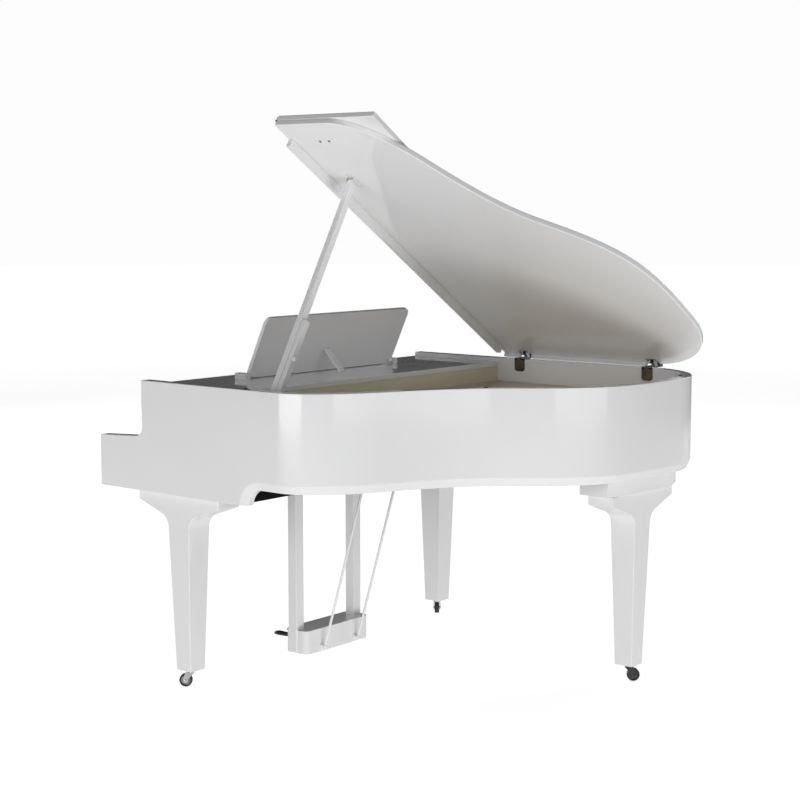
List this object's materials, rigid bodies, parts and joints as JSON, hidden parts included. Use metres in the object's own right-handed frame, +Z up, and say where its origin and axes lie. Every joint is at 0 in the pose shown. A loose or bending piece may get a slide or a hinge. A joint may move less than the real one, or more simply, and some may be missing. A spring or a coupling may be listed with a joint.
{
  "type": "digital piano on stand",
  "caption": "Baby-grand style digital piano: curved white case on castered legs, propped lid, folding music desk, pedal lyre.",
  "frame": {"origin": "on the floor, at the middle of the whole object's bounding box in X and Y", "axes": "+X towards the treble side, +Y towards the tail, +Z up"},
  "size_m": [1.4468, 1.508, 1.8012],
  "materials": {
    "lacquer": "gloss lacquer",
    "deck_board": "satin",
    "black_board": "matte",
    "white_key": "gloss",
    "black_key": "satin",
    "black_plastic": "satin",
    "steel": "zinc plated",
    "bronze": "dark bronze",
    "pedal_metal": "black plated",
    "chrome": "polished",
    "caster_black": "gloss",
    "rubber": "matte",
    "circuit_board": "satin"
  },
  "bodies": {
    "case": {"treble_side": "lacquer", "bass_side": "lacquer", "bent_rim": "lacquer", "bottom_board": "black_board", "keybed": "black_board", "bulkhead": "lacquer", "top_board": "lacquer", "sound_deck": "deck_board", "key_slip": "lacquer", "key_blocks": "lacquer", "nameboard": "lacquer", "key_frame": "steel", "white_keys": "white_key", "black_keys": "black_key", "main_board": "circuit_board", "power_supply": "steel", "speakers": "black_plastic", "jack_box": "black_plastic", "ac_inlet": "black_plastic", "rim_hinge_leaves": "bronze", "prop_bracket": "bronze", "leg_treble": "lacquer", "leg_bass": "lacquer", "leg_tail": "lacquer", "tail_block": "lacquer", "pedal_box": "lacquer", "lyre_posts": "lacquer", "lyre_braces": "lacquer", "pedal_axle": "steel", "floor_screw": "steel", "desk_brackets": "lacquer", "lid_bumpers": "rubber", "screws": "steel"},
    "lid": {"main_lid": "lacquer", "lid_batten": "lacquer", "lid_fittings": "bronze"},
    "flap": {"lid_flap": "lacquer"},
    "long_prop": {"prop_long": "lacquer"},
    "short_prop": {"prop_short": "lacquer"},
    "desk": {"music_desk": "lacquer"},
    "strut": {"desk_strut": "lacquer"},
    "fallboard": {"fallboard": "lacquer"},
    "soft_pedal": {"pedal_soft": "pedal_metal"},
    "sostenuto_pedal": {"pedal_sostenuto": "pedal_metal"},
    "damper_pedal": {"pedal_damper": "pedal_metal"},
    "power": {"power_button": "black_plastic"},
    "volume": {"volume_knob": "black_plastic"},
    "key_f_body": {"key_f": "white_key"},
    "key_f_sharp_body": {"key_f_sharp": "black_key"},
    "key_g_body": {"key_g": "white_key"},
    "key_g_sharp_body": {"key_g_sharp": "black_key"},
    "key_a_body": {"key_a": "white_key"},
    "key_a_sharp_body": {"key_a_sharp": "black_key"},
    "key_b_body": {"key_b": "white_key"},
    "fork_treble": {"caster_fork_treble": "chrome"},
    "wheel_treble": {"caster_wheel_treble": "caster_black"},
    "fork_bass": {"caster_fork_bass": "chrome"},
    "wheel_bass": {"caster_wheel_bass": "caster_black"},
    "fork_tail": {"caster_fork_tail": "chrome"},
    "wheel_tail": {"caster_wheel_tail": "caster_black"}
  },
  "joints": [
    {"name": "lid_lift", "type": "hinge", "parent": "case", "child": "lid", "pos_m": [-0.71256, 0.195, 0.99], "axis": [0, -1, 0], "range_deg": [0, 12]},
    {"name": "flap_unfold", "type": "hinge", "parent": "lid", "child": "flap", "pos_m": [-0.10463, -0.17, 1.39429], "axis": [0.841, 0, 0.541], "range_deg": [0, 180]},
    {"name": "long_prop_fold", "type": "hinge", "parent": "case", "child": "long_prop", "pos_m": [0.65544, -0.068, 0.911], "axis": [0, -1, 0], "range_deg": [0, 60]},
    {"name": "short_prop_fold", "type": "hinge", "parent": "case", "child": "short_prop", "pos_m": [0.65544, -0.048, 0.911], "axis": [0, -1, 0], "range_deg": [0, 60]},
    {"name": "desk_fold", "type": "hinge", "parent": "case", "child": "desk", "pos_m": [0.01744, -0.416, 0.979], "axis": [-1, 0, 0], "range_deg": [0, 64]},
    {"name": "strut_fold", "type": "hinge", "parent": "desk", "child": "strut", "pos_m": [0.02644, -0.38188, 1.04033], "axis": [1, 0, 0], "range_deg": [0, 109]},
    {"name": "fallboard_close", "type": "hinge", "parent": "case", "child": "fallboard", "pos_m": [0.01744, -0.54, 0.757], "axis": [1, 0, 0], "range_deg": [0, 93]},
    {"name": "soft_press", "type": "hinge", "parent": "case", "child": "soft_pedal", "pos_m": [-0.04756, -0.38, 0.042], "axis": [1, 0, 0], "range_deg": [0, 4.2], "stiffness_Nm_per_rad": 80, "springref_deg": -1.15},
    {"name": "sostenuto_press", "type": "hinge", "parent": "case", "child": "sostenuto_pedal", "pos_m": [0.01744, -0.38, 0.042], "axis": [1, 0, 0], "range_deg": [0, 4.2], "stiffness_Nm_per_rad": 80, "springref_deg": -1.15},
    {"name": "damper_press", "type": "hinge", "parent": "case", "child": "damper_pedal", "pos_m": [0.08244, -0.38, 0.042], "axis": [1, 0, 0], "range_deg": [0, 4.2], "stiffness_Nm_per_rad": 80, "springref_deg": -1.15},
    {"name": "power_press", "type": "slide", "parent": "case", "child": "power", "axis": [0, 0, -1], "range_m": [0, 0.002], "stiffness_N_per_m": 600, "springref_m": -0.002},
    {"name": "volume_turn", "type": "hinge", "parent": "case", "child": "volume", "pos_m": [-0.62356, -0.644, 0.742], "axis": [0, 0, -1], "range_deg": [0, 270]},
    {"name": "key_f_press", "type": "hinge", "parent": "case", "child": "key_f_body", "pos_m": [0.01744, -0.358, 0.707], "axis": [1, 0, 0], "range_deg": [0, 1.6], "stiffness_Nm_per_rad": 5, "springref_deg": -3.44},
    {"name": "key_f_sharp_press", "type": "hinge", "parent": "case", "child": "key_f_sharp_body", "pos_m": [0.01744, -0.358, 0.707], "axis": [1, 0, 0], "range_deg": [0, 1.6], "stiffness_Nm_per_rad": 5, "springref_deg": -3.44},
    {"name": "key_g_press", "type": "hinge", "parent": "case", "child": "key_g_body", "pos_m": [0.01744, -0.358, 0.707], "axis": [1, 0, 0], "range_deg": [0, 1.6], "stiffness_Nm_per_rad": 5, "springref_deg": -3.44},
    {"name": "key_g_sharp_press", "type": "hinge", "parent": "case", "child": "key_g_sharp_body", "pos_m": [0.01744, -0.358, 0.707], "axis": [1, 0, 0], "range_deg": [0, 1.6], "stiffness_Nm_per_rad": 5, "springref_deg": -3.44},
    {"name": "key_a_press", "type": "hinge", "parent": "case", "child": "key_a_body", "pos_m": [0.01744, -0.358, 0.707], "axis": [1, 0, 0], "range_deg": [0, 1.6], "stiffness_Nm_per_rad": 5, "springref_deg": -3.44},
    {"name": "key_a_sharp_press", "type": "hinge", "parent": "case", "child": "key_a_sharp_body", "pos_m": [0.01744, -0.358, 0.707], "axis": [1, 0, 0], "range_deg": [0, 1.6], "stiffness_Nm_per_rad": 5, "springref_deg": -3.44},
    {"name": "key_b_press", "type": "hinge", "parent": "case", "child": "key_b_body", "pos_m": [0.01744, -0.358, 0.707], "axis": [1, 0, 0], "range_deg": [0, 1.6], "stiffness_Nm_per_rad": 5, "springref_deg": -3.44},
    {"name": "swivel_treble", "type": "hinge", "parent": "case", "child": "fork_treble", "pos_m": [0.65344, -0.42, 0.06], "axis": [0, 0, 1], "continuous": true},
    {"name": "roll_treble", "type": "hinge", "parent": "fork_treble", "child": "wheel_treble", "pos_m": [0.66351, -0.43243, 0.021], "axis": [0.7771, 0.6293, 0], "continuous": true},
    {"name": "swivel_bass", "type": "hinge", "parent": "case", "child": "fork_bass", "pos_m": [-0.61856, -0.42, 0.06], "axis": [0, 0, 1], "continuous": true},
    {"name": "roll_bass", "type": "hinge", "parent": "fork_bass", "child": "wheel_bass", "pos_m": [-0.63099, -0.43007, 0.021], "axis": [0.6293, -0.7771, 0], "continuous": true},
    {"name": "swivel_tail", "type": "hinge", "parent": "case", "child": "fork_tail", "pos_m": [-0.28956, 0.625, 0.06], "axis": [0, 0, 1], "continuous": true},
    {"name": "roll_tail", "type": "hinge", "parent": "fork_tail", "child": "wheel_tail", "pos_m": [-0.29963, 0.63743, 0.021], "axis": [-0.7771, -0.6293, 0], "continuous": true}
  ],
  "couplings": [
    {"joint": "strut_fold", "follows": "desk_fold", "ratio": 1.69}
  ]
}
